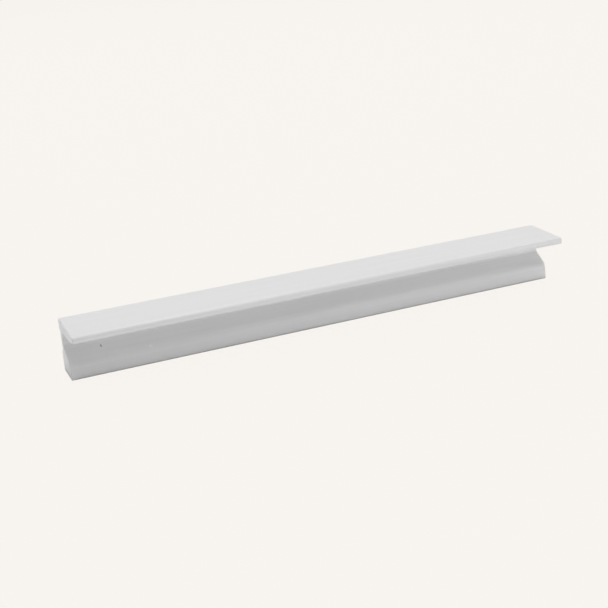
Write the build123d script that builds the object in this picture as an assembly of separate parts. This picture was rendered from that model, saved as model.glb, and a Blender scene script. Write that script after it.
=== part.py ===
from build123d import *
from math import cos, radians, sin, tan
import os

# An aluminium lip handle for a cabinet door, cut from one extruded profile. Millimetres.
# +X runs along the handle, +Z is up and the door is behind it, towards +Y.
# The origin is on the face that meets the door, midway between the two fixing screws.

# Length of the cut piece: the fixing screws' spacing and what is left outside each of them.
hole_spacing = 160.0
end_margin = 20.0

# Heights of the section above the surface that the handle stands on.
base_height = 10.3  # where the base's sloping top runs out against the web
finger_gap = 6.2  # clear height between that line and the underside of the lip
lip_thickness = 3.8

# Depths of the section, measured forwards from the door face.
lip_reach = 22.0
base_depth = 11.2
relief_depth = 1.5  # the shallow channel behind the web, which keeps the wall even
web_thickness = 2.2

# The lip's nose: its underside is bevelled upwards so that it ends thinner than it starts.
nose_thickness = 2.4
nose_lean = 16.0  # degrees that the nose leans back towards its bottom edge
bevel_length = 6.0

# The base: a sloping top that the fingertips rest on, and a front face that leans back a little.
slope_angle = 32.0
front_lean = 8.0

# The channel behind the web lies between two lands that bear on the door.
lower_land_height = 7.7
upper_land_height = 3.8
channel_side_height = 1.2

# Radii of the section's corners.
shoulder_radius = 4.0
web_foot_radius = 2.2
web_root_radius = 3.0
bevel_radius = 12.0
nose_top_radius = 1.3
nose_bottom_radius = 0.6
foot_front_radius = 0.5
foot_back_radius = 0.8
top_back_radius = 0.5
channel_edge_radius = 0.5
channel_root_radius = 0.7

# The sawn ends have their edges broken all round.
end_edge_radius = 0.45

# The two blind fixing holes, tapped M4 from the door side.
hole_height = 4.2
tapping_diameter = 3.3
mouth_diameter = 4.1
thread_depth = 7.0
drill_point_angle = 118.0

length = hole_spacing + 2 * end_margin
underside_height = base_height + finger_gap
height = underside_height + lip_thickness
web_front = relief_depth + web_thickness


def shoulder_corner():
    """Where the base's sloping top would meet its leaning front face if it weren't rounded."""
    slope = radians(slope_angle)
    lean = tan(radians(front_lean))
    run = (base_depth - web_front - base_height * lean) / (cos(slope) - sin(slope) * lean)
    return (-web_front - run * cos(slope), base_height - run * sin(slope))


def nose_corners():
    """The nose's two sharp corners, placed so that its rounded top edge ends at lip_reach."""
    lean = radians(nose_lean)
    lost_to_rounding = nose_top_radius * ((1 + sin(lean)) / cos(lean) - 1)
    top_y = -lip_reach - lost_to_rounding
    return (top_y + nose_thickness * tan(lean), height - nose_thickness), (top_y, height)


def handle_section():
    """The extruded section: each corner as (forward position, height above the foot, radius).

    The list goes round from the back of the foot, under the base, up its front, over the
    shoulder into the finger recess, round the lip, and down the door side. Every corner is
    a tangent arc, convex on the outside and concave in the recess and the channel.
    """
    nose_bottom, nose_top = nose_corners()
    channel_bottom = lower_land_height
    channel_top = height - upper_land_height
    corners = [
        (0, 0, foot_back_radius),
        (-base_depth, 0, foot_front_radius),
        (*shoulder_corner(), shoulder_radius),
        (-web_front, base_height, web_foot_radius),
        (-web_front, underside_height, min(web_root_radius, 0.5 * finger_gap)),
        (bevel_length - lip_reach, underside_height, bevel_radius),
        (*nose_bottom, nose_bottom_radius),
        (*nose_top, nose_top_radius),
        (0, height, top_back_radius),
        (0, channel_top, channel_edge_radius),
        (-relief_depth, channel_top - channel_side_height, channel_root_radius),
        (-relief_depth, channel_bottom + channel_side_height, channel_root_radius),
        (0, channel_bottom, channel_edge_radius),
    ]
    points = [(y, z - hole_height) for y, z, _ in corners]
    radii = [radius for _, _, radius in corners]
    outline = FilletPolyline(*points, radius=radii, close=True)
    return make_face(Plane.YZ * outline)


def handle_bar():
    """The section extruded both ways from mid-length, with the edges of both ends rounded."""
    bar = extrude(handle_section(), amount=length / 2, both=True)
    left_end = bar.faces().sort_by(Axis.X)[0]
    right_end = bar.faces().sort_by(Axis.X)[-1]
    return fillet(left_end.edges() + right_end.edges(), end_edge_radius)


def fixing_hole():
    """One tapped hole as a solid of revolution: mouth chamfer, thread bore, drill point."""
    bore = tapping_diameter / 2
    mouth = mouth_diameter / 2
    point_depth = bore / tan(radians(drill_point_angle / 2))
    half_profile = Polyline(
        (0, 0),
        (mouth, 0),
        (bore, bore - mouth),
        (bore, -thread_depth),
        (0, -thread_depth - point_depth),
        close=True,
    )
    return revolve(make_face(Plane.XY * half_profile), Axis.Y)


handle = handle_bar()
for side in (-1, 1):
    handle -= Pos(side * hole_spacing / 2, 0, 0) * fixing_hole()

os.makedirs("parts", exist_ok=True)
export_step(handle, "parts/handle_profile.step")
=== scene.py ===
import bpy
import math
import numpy as np
from mathutils import Matrix, Vector


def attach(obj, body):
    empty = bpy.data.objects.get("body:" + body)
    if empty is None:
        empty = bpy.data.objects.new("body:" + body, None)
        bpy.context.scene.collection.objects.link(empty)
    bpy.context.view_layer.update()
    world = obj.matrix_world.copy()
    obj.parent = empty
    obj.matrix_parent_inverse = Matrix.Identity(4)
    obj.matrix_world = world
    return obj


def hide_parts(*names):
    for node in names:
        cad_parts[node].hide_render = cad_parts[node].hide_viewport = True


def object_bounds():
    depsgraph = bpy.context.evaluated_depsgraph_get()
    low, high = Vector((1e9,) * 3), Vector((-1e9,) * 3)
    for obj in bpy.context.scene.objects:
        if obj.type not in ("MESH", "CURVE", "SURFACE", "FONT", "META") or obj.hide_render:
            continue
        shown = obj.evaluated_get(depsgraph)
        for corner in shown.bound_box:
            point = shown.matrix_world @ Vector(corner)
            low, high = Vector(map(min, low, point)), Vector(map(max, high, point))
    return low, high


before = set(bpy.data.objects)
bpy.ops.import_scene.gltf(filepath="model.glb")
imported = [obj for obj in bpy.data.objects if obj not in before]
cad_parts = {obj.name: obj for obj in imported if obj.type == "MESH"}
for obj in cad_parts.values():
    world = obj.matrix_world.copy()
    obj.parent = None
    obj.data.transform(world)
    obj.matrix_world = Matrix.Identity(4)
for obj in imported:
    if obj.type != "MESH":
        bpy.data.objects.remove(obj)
cad_low, cad_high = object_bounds()

# The bar: one length of aluminium profile, pressed hot through a steel die that gives it the
# section below, then sawn to length. The flat lip overhangs a finger recess, and the solid
# base under it stands on the table. Sizes are millimetres, and forwards is negative.
MM = 0.001
BAR_LENGTH = 200.0
HOLE_SPACING = 160.0
HOLE_HEIGHT = 4.2
HEIGHT = 20.3
LIP_REACH = 22.0
LIP_THICKNESS = 3.8
NOSE_THICKNESS = 2.4
NOSE_LEAN = math.radians(16.0)
BEVEL_LENGTH = 6.0
BASE_HEIGHT = 10.3
BASE_DEPTH = 11.2
SLOPE = math.radians(32.0)
FRONT_LEAN = math.tan(math.radians(8.0))
WEB_FRONT = 3.7
CHANNEL_DEPTH = 1.5
CHANNEL_BOTTOM = 7.7
CHANNEL_TOP = 16.5
CHANNEL_SIDE = 1.2
NOSE_TOP_RADIUS = 1.3
ARC_STEPS = 12
SUPPORT = 0.03  # a narrow strip beside each arc, which keeps the flats' shading flat


def base_shoulder():
    """Where the base's sloping top meets its leaning front: the two straight lines' crossing."""
    run = (BASE_DEPTH - WEB_FRONT - BASE_HEIGHT * FRONT_LEAN) / (
        math.cos(SLOPE) - math.sin(SLOPE) * FRONT_LEAN)
    return -WEB_FRONT - run * math.cos(SLOPE), BASE_HEIGHT - run * math.sin(SLOPE)


def section_corners():
    """The section's sharp corners as rows of forward position, height above the foot, radius."""
    rounding = NOSE_TOP_RADIUS * ((1 + math.sin(NOSE_LEAN)) / math.cos(NOSE_LEAN) - 1)
    nose = -LIP_REACH - rounding
    underside = HEIGHT - LIP_THICKNESS
    return np.array([
        (0, 0, 0.8),
        (-BASE_DEPTH, 0, 0.5),
        (*base_shoulder(), 4.0),
        (-WEB_FRONT, BASE_HEIGHT, 2.2),
        (-WEB_FRONT, underside, 3.0),
        (BEVEL_LENGTH - LIP_REACH, underside, 12.0),
        (nose + NOSE_THICKNESS * math.tan(NOSE_LEAN), HEIGHT - NOSE_THICKNESS, 0.6),
        (nose, HEIGHT, NOSE_TOP_RADIUS),
        (0, HEIGHT, 0.5),
        (0, CHANNEL_TOP, 0.5),
        (-CHANNEL_DEPTH, CHANNEL_TOP - CHANNEL_SIDE, 0.7),
        (-CHANNEL_DEPTH, CHANNEL_BOTTOM + CHANNEL_SIDE, 0.7),
        (0, CHANNEL_BOTTOM, 0.5),
    ])


def unit(rows):
    """Each row divided by its own length."""
    return rows / np.linalg.norm(rows, axis=-1, keepdims=True)


def rounded_section(corners, steps):
    """Points and outward normals round the section, with every corner as a tangent arc.

    Each arc's centre lies on the corner's bisector at radius / sin(half angle), and the arc
    starts and ends at radius / tan(half angle) along the corner's two sides. The outline goes
    clockwise, so a corner that turns left is hollow and its normals point at its centre.
    """
    point, radius = corners[:, :2], corners[:, 2:]
    to_last = unit(np.roll(point, 1, 0) - point)
    to_next = unit(np.roll(point, -1, 0) - point)
    half = np.arccos((to_last * to_next).sum(1, keepdims=True)) / 2
    centre = point + unit(to_last + to_next) * radius / np.sin(half)
    start = point + to_last * radius / np.tan(half)
    end = point + to_next * radius / np.tan(half)
    first = np.arctan2(*(start - centre).T[::-1])
    last = np.arctan2(*(end - centre).T[::-1])
    sweep = (last - first + math.pi) % (2 * math.pi) - math.pi
    angle = first[:, None] + sweep[:, None] * np.linspace(0, 1, steps + 1)
    ray = np.stack([np.cos(angle), np.sin(angle)], -1)
    arc = centre[:, None] + radius[:, None] * ray
    normal = ray * -np.sign(sweep)[:, None, None]
    before = start + to_last * SUPPORT
    after = end + to_next * SUPPORT
    points = np.concatenate([before[:, None], arc, after[:, None]], 1)
    normals = np.concatenate([normal[:, :1], normal, normal[:, -1:]], 1)
    return points.reshape(-1, 2), normals.reshape(-1, 2)


# The lower land is the flat strip that bears on the door, and it closes the outline. It is
# cut into as many rows as a hole's patch has, so that the patches meet it point for point.
PATCH_CELLS = 16
PATCH_HALF_WIDTH = 3.1
outline, outline_normal = rounded_section(section_corners(), ARC_STEPS)
land_start = len(outline) - 1
share = np.linspace(0, 1, PATCH_CELLS + 1)[1:-1, None]
land = outline[-1] * (1 - share) + outline[0] * share
outline = np.concatenate([outline, land])
outline_normal = np.concatenate([outline_normal, np.tile([1.0, 0.0], (len(land), 1))])

# Both ends are sawn square and their edges broken by hand, so the section draws in there.
END_EDGE_RADIUS = 0.45
END_STEPS = 8


def bar_stations():
    """Where the section is set along the bar, and how far it is drawn in at each place.

    At each end the edge is a quarter circle: out by radius * sin(turn) and in by
    radius * (1 - cos(turn)). Between the ends the stations are the hole patches' columns.
    """
    turn = np.linspace(0, math.pi / 2, END_STEPS + 1)
    end = BAR_LENGTH / 2 - END_EDGE_RADIUS * (1 - np.sin(turn))
    end = np.append(end, end[-1])
    drawn_in = END_EDGE_RADIUS * (1 - np.cos(turn))
    drawn_in = np.append(drawn_in, drawn_in[-1] + SUPPORT)
    patch = HOLE_SPACING / 2 + np.linspace(-PATCH_HALF_WIDTH, PATCH_HALF_WIDTH, PATCH_CELLS + 1)
    along = np.concatenate([-end[::-1], -patch[::-1], patch, end])
    inset = np.concatenate([drawn_in[::-1], np.zeros(2 * len(patch)), drawn_in])
    return along, inset


def bar_grid():
    """The bar's points, one row for each station and one column for each outline point."""
    across = outline - inset[:, None, None] * outline_normal - [0, HOLE_HEIGHT]
    along = np.broadcast_to(station[:, None, None], (*across.shape[:2], 1))
    return np.concatenate([along, across], -1)


# The grid's points and cells are numbered with the land left open where the two holes go.
station, inset = bar_stations()
bar = bar_grid()
rows, turns = bar.shape[:2]
from_hole = np.abs(np.abs(station) - HOLE_SPACING / 2)
kept = np.ones((rows, turns), bool)
kept[from_hole < PATCH_HALF_WIDTH - SUPPORT, land_start + 1:] = False
index = (np.cumsum(kept) - 1).reshape(rows, turns)
onward = np.roll(index, -1, 1)
cells = np.stack([index[:-1], index[1:], onward[1:], onward[:-1]], -1)
kept_cells = np.ones(cells.shape[:2], bool)
kept_cells[from_hole[:-1] + from_hole[1:] < 2 * PATCH_HALF_WIDTH - SUPPORT, land_start:] = False

# The two fixing holes: drilled blind into the base from the door side, countersunk and tapped
# M4 for the screws that come through the door. The thread is a V groove cut outwards from
# the drilled bore in a right-hand helix.
BORE_RADIUS = 1.65
MOUTH_RADIUS = 2.05
THREAD_RADIUS = 2.0
THREAD_PITCH = 0.7
THREAD_DEPTH = 7.0
DRILL_POINT = math.radians(59.0)
RINGS_PER_PITCH = 12
FLAT_RINGS = 6


def patch_edge(first, last):
    """The grid points round a hole's patch, in order: between two stations, over the land."""
    across = np.append(np.arange(land_start, turns), 0)
    return np.concatenate([
        index[first:last, across[0]],
        index[last, across[:-1]],
        index[last:first:-1, across[-1]],
        index[first, across[:0:-1]],
    ])


def hole_rings(edge, hole_x):
    """One fixing hole as rings of points, from its patch's square edge in to the drill's tip.

    The flat part blends each edge point to the mouth circle at the same angle. Below the
    countersink the radius is the bore's plus a V groove, whose place in the thread's pitch
    turns once round the hole, and which fades in and out over one pitch at its two ends.
    """
    centre = np.array([hole_x, 0.0, 0.0])
    offset = edge - centre
    angle = np.arctan2(offset[:, 2], offset[:, 0])
    circle = np.stack([np.cos(angle), np.zeros_like(angle), np.sin(angle)], -1)
    blend = np.linspace(0, 1, FLAT_RINGS + 1)[1:, None, None]
    flat = centre + offset * (1 - blend) + circle * MOUTH_RADIUS * blend
    top = MOUTH_RADIUS - BORE_RADIUS
    count = round((THREAD_DEPTH - top) / THREAD_PITCH * RINGS_PER_PITCH)
    depth = np.linspace(top, THREAD_DEPTH, count + 1)[:, None]
    place = (depth / THREAD_PITCH - angle / (2 * math.pi)) % 1
    groove = 1 - np.abs(2 * place - 1)
    fade = np.clip(np.minimum(depth - top, THREAD_DEPTH - depth) / THREAD_PITCH, 0, 1)
    radius = BORE_RADIUS + (THREAD_RADIUS - BORE_RADIUS) * groove * fade
    wall = centre + circle * radius[..., None] - depth[..., None] * np.array([0, 1.0, 0])
    tip = centre - np.array([0, THREAD_DEPTH + BORE_RADIUS / math.tan(DRILL_POINT), 0])
    return flat, wall, tip


points = [bar[kept]]
patch_faces = []
thread_faces = []
for hole_x in (-HOLE_SPACING / 2, HOLE_SPACING / 2):
    columns = np.flatnonzero(np.abs(station - hole_x) < PATCH_HALF_WIDTH + SUPPORT)
    edge = patch_edge(columns[0], columns[-1])
    flat, wall, tip = hole_rings(points[0][edge], hole_x)
    below = np.concatenate([flat, wall]).reshape(-1, 3)
    used = sum(len(group) for group in points)
    ring = np.concatenate([edge[None], used + np.arange(len(below)).reshape(-1, len(edge))])
    ahead = np.roll(ring, -1, 1)
    walls = np.stack([ring[:-1], ahead[:-1], ahead[1:], ring[1:]], -1)
    cone = np.stack([ring[-1], ahead[-1], np.full(len(edge), used + len(below))], -1)
    patch_faces += walls[:FLAT_RINGS].reshape(-1, 4).tolist()
    thread_faces += walls[FLAT_RINGS:].reshape(-1, 4).tolist() + cone.tolist()
    points += [below, tip[None]]

# The whole handle as one closed mesh: its long sides, the two sawn faces and the two holes.
SHARP_ANGLE = math.radians(35.0)
sides = kept_cells.copy()
sides[:2] = sides[-2:] = False
side_faces = cells[sides].tolist() + patch_faces
end_faces = cells[kept_cells & ~sides].tolist() + [index[0].tolist(), index[-1, ::-1].tolist()]
mesh = bpy.data.meshes.new("handle")
mesh.from_pydata(np.concatenate(points) * MM, [], side_faces + end_faces + thread_faces)
slots = np.repeat([0, 1, 2], [len(side_faces), len(end_faces), len(thread_faces)])
mesh.polygons.foreach_set("material_index", slots.astype(np.int32))
mesh.polygons.foreach_set("use_smooth", np.ones(len(slots), bool))
mesh.set_sharp_from_angle(angle=SHARP_ANGLE)
mesh.update()
handle = bpy.data.objects.new("handle", mesh)
bpy.context.scene.collection.objects.link(handle)
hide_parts("handle_profile")
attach(handle, "root")


def linear(hex_colour):
    """An sRGB hex colour as linear red, green, blue and alpha."""
    srgb = np.array([int(hex_colour[i:i + 2], 16) for i in (1, 3, 5)]) / 255
    low = srgb / 12.92
    high = ((srgb + 0.055) / 1.055) ** 2.4
    return (*np.where(srgb <= 0.04045, low, high), 1.0)


def node(tree, kind, settings=None, **inputs):
    """Adds a node, sets its settings, and sets or links its inputs by name or by number."""
    made = tree.nodes.new(kind)
    for name, value in (settings or {}).items():
        setattr(made, name, value)
    for name, value in inputs.items():
        socket = made.inputs[int(name[1:]) if name[0] == "_" else name.replace("_", " ")]
        if isinstance(value, bpy.types.NodeSocket):
            tree.links.new(value, socket)
        else:
            socket.default_value = value
    return made


def new_material(name):
    """An empty node material and its tree."""
    made = bpy.data.materials.new(name)
    made.use_nodes = True
    made.node_tree.nodes.clear()
    return made, made.node_tree


# Matt natural anodised aluminium: etched to a fine even grain, then grown a clear hard oxide
# layer that scatters some of the light itself, so less than all of it counts as metal. It gives
# the eye a soft pale grey sheen with no hue and, up close, the die's faint lines along the bar.
# The grain is really about 0.02 mm and is drawn coarser, to show at all. Near the left end the
# slope has one small dark nick, and to its right the shoulder has a faint lighter spot; each is
# a centre, half its size and a tone.
ANODISED = "#F7F7F7"
DIE_LINE_TONE = "#EEEEEE"
DIE_LINE_MM = 0.35
DIE_LINE_LENGTH_MM = 60.0
LINE_RELIEF = 0.6  # the die lines' height as a share of the grain's
GRAIN_MM = 0.12
RELIEF_MM = 0.004
CLOUD_MM = 45.0
MATT_ROUGH = (0.68, 0.72)
METAL_UNDER_OXIDE = 0.7
RAGGED_MM = 0.3
MARK_CORE = 0.7  # how far in from its edge a mark has its full tone
MARKS = (
    ((-87.0, -5.9, 4.7), (0.45, 0.9, 0.9), "#B4B4B4"),
    ((-69.8, -9.8, 2.3), (1.0, 1.0, 1.0), "#FAFAFA"),
)


def anodised_aluminium():
    """Metal whose colour, roughness and bump follow noise drawn out along the bar."""
    made, tree = new_material("matt_natural_anodised_aluminium")
    place = node(tree, "ShaderNodeTexCoord").outputs["Object"]
    drawn = node(tree, "ShaderNodeMapping", Vector=place, Scale=(
        1 / (DIE_LINE_LENGTH_MM * MM), 1 / (DIE_LINE_MM * MM), 1 / (DIE_LINE_MM * MM)))
    lines = node(tree, "ShaderNodeTexNoise", Vector=drawn.outputs[0], Scale=1.0, Detail=2.0)
    grain = node(tree, "ShaderNodeTexNoise", Vector=place, Scale=1 / (GRAIN_MM * MM), Detail=1.0)
    cloud = node(tree, "ShaderNodeTexNoise", Vector=place, Scale=1 / (CLOUD_MM * MM), Detail=1.0)
    tone = node(tree, "ShaderNodeMix", {"data_type": "RGBA"}, _0=lines.outputs["Fac"],
                _6=linear(DIE_LINE_TONE), _7=linear(ANODISED))
    warp = node(tree, "ShaderNodeTexNoise", Vector=place, Scale=1 / (RAGGED_MM * MM))
    ragged = node(tree, "ShaderNodeVectorMath", {"operation": "MULTIPLY_ADD"},
                  _0=warp.outputs["Color"], _1=(RAGGED_MM * MM,) * 3, _2=place)
    for centre, half_size, mark_tone in MARKS:
        spot = node(tree, "ShaderNodeMapping", {"vector_type": "TEXTURE"},
                    Vector=ragged.outputs[0], Scale=[size * MM for size in half_size],
                    Location=[(at + RAGGED_MM / 2) * MM for at in centre])
        spot = node(tree, "ShaderNodeTexGradient", {"gradient_type": "SPHERICAL"},
                    Vector=spot.outputs[0])
        spot = node(tree, "ShaderNodeMapRange", {"interpolation_type": "SMOOTHSTEP"},
                    Value=spot.outputs["Fac"], From_Max=MARK_CORE)
        tone = node(tree, "ShaderNodeMix", {"data_type": "RGBA"}, _0=spot.outputs[0],
                    _6=tone.outputs[2], _7=linear(mark_tone))
    rough = node(tree, "ShaderNodeMapRange", Value=cloud.outputs["Fac"],
                 To_Min=MATT_ROUGH[0], To_Max=MATT_ROUGH[1])
    relief = node(tree, "ShaderNodeMath", {"operation": "MULTIPLY_ADD"},
                  _0=lines.outputs["Fac"], _1=LINE_RELIEF, _2=grain.outputs["Fac"])
    bump = node(tree, "ShaderNodeBump", Height=relief.outputs[0], Strength=1.0,
                Distance=RELIEF_MM * MM)
    shader = node(tree, "ShaderNodeBsdfPrincipled", Base_Color=tone.outputs[2],
                  Roughness=rough.outputs[0], Normal=bump.outputs[0],
                  Metallic=METAL_UNDER_OXIDE)
    node(tree, "ShaderNodeOutputMaterial", Surface=shader.outputs[0])
    return made


mesh.materials.append(anodised_aluminium())

# The two end faces: cut with a circular saw before anodising, so the same pale grey shows the
# blade's shallow arcs, which cross the section one beside another. They are really about
# 0.1 mm apart and are drawn coarser, to show.
SAW_RADIUS_MM = 175.0
SAW_PITCH_MM = 0.5
SAW_DEPTH_MM = 0.02
SAWN = "#F8F8F8"
SAWN_LOW = "#E6E6E6"
SAWN_ROUGH = (0.5, 0.65)
ALONG_BAR = 1e6  # divides X away, which leaves the place across the section


def sawn_aluminium():
    """Metal with bands at even steps of the distance from the blade's centre, far behind it."""
    made, tree = new_material("sawn_anodised_aluminium")
    place = node(tree, "ShaderNodeTexCoord").outputs["Object"]
    centred = node(tree, "ShaderNodeMapping", {"vector_type": "TEXTURE"}, Vector=place,
                   Location=(0, SAW_RADIUS_MM * MM, 0), Scale=(ALONG_BAR, 1, 1))
    away = node(tree, "ShaderNodeVectorMath", {"operation": "LENGTH"}, _0=centred.outputs[0])
    cut = node(tree, "ShaderNodeTexNoise", {"noise_dimensions": "1D"}, W=away.outputs["Value"],
               Scale=1 / (SAW_PITCH_MM * MM), Detail=1.0)
    tone = node(tree, "ShaderNodeMix", {"data_type": "RGBA"}, _0=cut.outputs["Fac"],
                _6=linear(SAWN_LOW), _7=linear(SAWN))
    rough = node(tree, "ShaderNodeMapRange", Value=cut.outputs["Fac"],
                 To_Min=SAWN_ROUGH[0], To_Max=SAWN_ROUGH[1])
    bump = node(tree, "ShaderNodeBump", Height=cut.outputs["Fac"], Strength=1.0,
                Distance=SAW_DEPTH_MM * MM)
    shader = node(tree, "ShaderNodeBsdfPrincipled", Base_Color=tone.outputs[2],
                  Roughness=rough.outputs[0], Normal=bump.outputs[0],
                  Metallic=METAL_UNDER_OXIDE)
    node(tree, "ShaderNodeOutputMaterial", Surface=shader.outputs[0])
    return made


mesh.materials.append(sawn_aluminium())

# The bores' walls: drilled and tapped after anodising, so they are bare cut aluminium, brighter
# and more mirror-like than the rest, with the drill's fine rings round them.
BARE = "#E4E4E4"
BARE_LOW = "#CACACA"
BARE_ROUGH = (0.25, 0.4)
RING_MM = 0.1
RING_DEPTH_MM = 0.003


def tapped_aluminium():
    """Bare metal whose colour, roughness and bump change only with depth in the hole."""
    made, tree = new_material("bare_tapped_aluminium")
    place = node(tree, "ShaderNodeTexCoord").outputs["Object"]
    depth = node(tree, "ShaderNodeSeparateXYZ", Vector=place).outputs["Y"]
    rings = node(tree, "ShaderNodeTexNoise", {"noise_dimensions": "1D"}, W=depth,
                 Scale=1 / (RING_MM * MM), Detail=1.0)
    tone = node(tree, "ShaderNodeMix", {"data_type": "RGBA"}, _0=rings.outputs["Fac"],
                _6=linear(BARE_LOW), _7=linear(BARE))
    rough = node(tree, "ShaderNodeMapRange", Value=rings.outputs["Fac"],
                 To_Min=BARE_ROUGH[0], To_Max=BARE_ROUGH[1])
    bump = node(tree, "ShaderNodeBump", Height=rings.outputs["Fac"], Strength=1.0,
                Distance=RING_DEPTH_MM * MM)
    shader = node(tree, "ShaderNodeBsdfPrincipled", Base_Color=tone.outputs[2],
                  Roughness=rough.outputs[0], Normal=bump.outputs[0], Metallic=1.0)
    node(tree, "ShaderNodeOutputMaterial", Surface=shader.outputs[0])
    return made


mesh.materials.append(tapped_aluminium())

# The floor is a sheet of pale matt card. The lens and the metal see it as even off-white, with
# the handle's soft shadow kept faint on it. Near the handle its even colour is darkened by an
# ambient occlusion test as painted shade: a thin painted dark line where the foot touches it,
# and a wider painted shade round the foot in the metal. The metal sees it a tenth darker and
# without its warmth, since the handle has no hue. Its even tone isn't counted among the lamps,
# so it lights only what mirrors it. It is one triangle, so no seam passes under the handle.
FLOOR_COLOUR = "#F8F4F0"
MIRRORED_COLOUR = "#F4F4F4"
MIRRORED_LEVEL = 0.9
FLOOR_REACH = 20.0
FLOOR_CORNERS = ((-2, -1, 0), (2, -1, 0), (0, 2.4, 0))
SEEN_EVEN = 0.97
MIRRORED_EVEN = 0.88
# The painted shade: how far from the handle ambient occlusion darkens the even colour, for the
# lens and in the metal, how steeply, and with how many rays.
SEEN_PAINTED_SHADE_MM = 0.08
MIRRORED_PAINTED_SHADE_MM = 8.0
PAINTED_SHADE_DEPTH = 3.0
PAINTED_SHADE_RAYS = 8
floor_mesh = bpy.data.meshes.new("floor")
floor_corners = np.array(FLOOR_CORNERS) * FLOOR_REACH + [0, 0, cad_low.z]
floor_mesh.from_pydata(floor_corners, [], [(0, 1, 2)])
floor = bpy.data.objects.new("floor", floor_mesh)
bpy.context.scene.collection.objects.link(floor)


def pale_card():
    """Diffuse card mixed with its own even colour, which is darkened as painted shade where
    something is close above.
    """
    made, tree = new_material("pale_matt_card")
    made.cycles.emission_sampling = "NONE"
    path = node(tree, "ShaderNodeLightPath").outputs
    mirrored = node(tree, "ShaderNodeMath", {"operation": "ADD", "use_clamp": True},
                    _0=path["Is Glossy Ray"], _1=path["Is Transmission Ray"])
    # Painted shade: the even colour is darkened by ambient occlusion, over a short reach for the
    # lens and a long one in the metal.
    reach = node(tree, "ShaderNodeMapRange", Value=path["Is Camera Ray"],
                 To_Min=MIRRORED_PAINTED_SHADE_MM * MM, To_Max=SEEN_PAINTED_SHADE_MM * MM)
    clear = node(tree, "ShaderNodeAmbientOcclusion", {"samples": PAINTED_SHADE_RAYS},
                 Distance=reach.outputs[0])
    level = node(tree, "ShaderNodeMath", {"operation": "POWER"}, _0=clear.outputs["AO"],
                 _1=PAINTED_SHADE_DEPTH)
    dimmed = node(tree, "ShaderNodeMapRange", Value=path["Is Camera Ray"],
                  To_Min=MIRRORED_LEVEL, To_Max=1.0)
    level = node(tree, "ShaderNodeMath", {"operation": "MULTIPLY"}, _0=level.outputs[0],
                 _1=dimmed.outputs[0])
    tone = node(tree, "ShaderNodeMix", {"data_type": "RGBA"}, _0=path["Is Camera Ray"],
                _6=linear(MIRRORED_COLOUR), _7=linear(FLOOR_COLOUR))
    even = node(tree, "ShaderNodeEmission", Color=tone.outputs[2], Strength=level.outputs[0])
    card = node(tree, "ShaderNodeBsdfDiffuse", Color=tone.outputs[2])
    share = node(tree, "ShaderNodeMath", {"operation": "MULTIPLY"}, _0=mirrored.outputs[0],
                 _1=MIRRORED_EVEN)
    share = node(tree, "ShaderNodeMath", {"operation": "MULTIPLY_ADD"},
                 _0=path["Is Camera Ray"], _1=SEEN_EVEN, _2=share.outputs[0])
    seen = node(tree, "ShaderNodeMixShader", Fac=share.outputs[0], _1=card.outputs[0],
                _2=even.outputs[0])
    node(tree, "ShaderNodeOutputMaterial", Surface=seen.outputs[0])
    return made


floor_mesh.materials.append(pale_card())

# The room: a white tent, dark at floor level and brightening to its lit roof as the square of
# the height of the direction looked in. The lens sees it as the card's even off-white.
STUDIO_WHITE = "#FFFFFF"
ROOM_ROOF = 0.68
ROOM_FALL = 2.0
world = bpy.data.worlds.new("studio")
bpy.context.scene.world = world
world.use_nodes = True
room = world.node_tree
room.nodes.clear()
facing = node(room, "ShaderNodeTexCoord").outputs["Generated"]
height = node(room, "ShaderNodeSeparateXYZ", Vector=facing).outputs["Z"]
height = node(room, "ShaderNodeMath", {"operation": "MAXIMUM"}, _0=height, _1=0.0)
level = node(room, "ShaderNodeMath", {"operation": "POWER"}, _0=height.outputs[0],
             _1=ROOM_FALL)
level = node(room, "ShaderNodeMath", {"operation": "MULTIPLY"}, _0=level.outputs[0],
             _1=ROOM_ROOF)
light = node(room, "ShaderNodeBackground", Color=linear(STUDIO_WHITE),
             Strength=level.outputs[0])
backdrop = node(room, "ShaderNodeBackground", Color=linear(FLOOR_COLOUR), Strength=1.0)
lens = node(room, "ShaderNodeLightPath").outputs["Is Camera Ray"]
seen = node(room, "ShaderNodeMixShader", Fac=lens, _1=light.outputs[0], _2=backdrop.outputs[0])
node(room, "ShaderNodeOutputWorld", Surface=seen.outputs[0])

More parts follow.
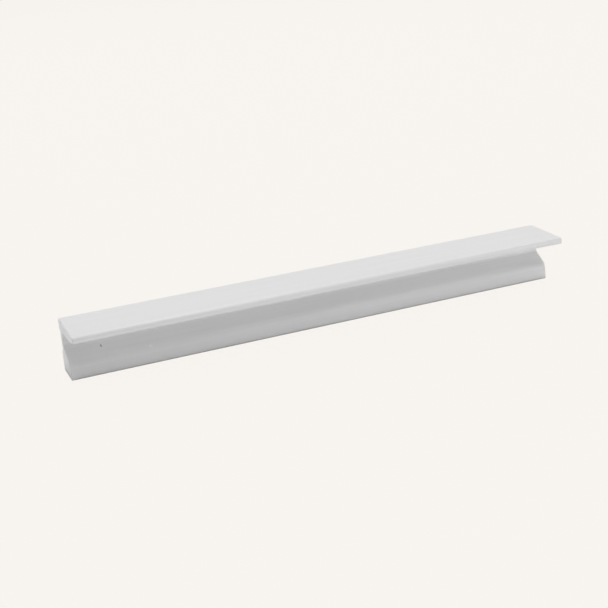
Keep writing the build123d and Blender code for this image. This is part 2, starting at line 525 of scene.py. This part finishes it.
# The lamps: oval softboxes on stands a little over a metre away, all aimed at the handle. Each is
# its turn round from the front and its height in degrees, its width and height in metres and
# its radiance. The two low ones are wider than they are high, and stand clear of the floor.
LAMP_DISTANCE = 1.2
LAMPS = {
    "overhead": (0, 90, 0.6, 0.6, 1.98),
    "front_high": (0, 63, 0.65, 0.65, 2.12),
    "behind": (180, 36, 0.75, 0.75, 1.35),
    "behind_right": (135, 36, 0.75, 0.75, 1.42),
    "front_right": (45, 14, 0.85, 0.55, 2.53),
    "behind_left": (-135, 14, 0.85, 0.55, 2.27),
}
for name, (turn, rise, width, tallness, radiance) in LAMPS.items():
    lamp = bpy.data.lights.new(name, "AREA")
    lamp.shape = "ELLIPSE"
    lamp.size = width
    lamp.size_y = tallness
    lamp.color = linear(STUDIO_WHITE)[:3]
    lamp.energy = radiance * math.pi * math.pi * width * tallness / 4
    turn, rise = math.radians(turn), math.radians(rise)
    away = Vector((math.sin(turn) * math.cos(rise), -math.cos(turn) * math.cos(rise),
                   math.sin(rise)))
    softbox = bpy.data.objects.new(name, lamp)
    softbox.location = away * LAMP_DISTANCE
    softbox.rotation_euler = (-away).to_track_quat("-Z", "Y").to_euler()
    softbox.visible_camera = False
    bpy.context.scene.collection.objects.link(softbox)

# The camera: a short telephoto to the handle's left, looking down on it, tipped a little.
LENS_MM = 69.6
SENSOR_MM = 36.0
AIM = Vector((-7.98, -8.05, 5.3)) * MM
DISTANCE = 449.4 * MM
AZIMUTH = math.radians(-22.29)
ELEVATION = math.radians(20.50)
ROLL = math.radians(-3.61)
back = Vector((math.sin(AZIMUTH) * math.cos(ELEVATION), -math.cos(AZIMUTH) * math.cos(ELEVATION),
               math.sin(ELEVATION)))
lens_data = bpy.data.cameras.new("camera")
lens_data.lens = LENS_MM
lens_data.sensor_width = SENSOR_MM
lens_data.clip_start = 0.01
camera = bpy.data.objects.new("camera", lens_data)
level_turn = (-back).to_track_quat("-Z", "Y").to_matrix()
camera.matrix_world = Matrix.Translation(AIM + back * DISTANCE) @ (
    level_turn @ Matrix.Rotation(ROLL, 3, "Z")).to_4x4()
bpy.context.scene.collection.objects.link(camera)
bpy.context.scene.camera = camera
bpy.context.scene.view_settings.view_transform = "Standard"
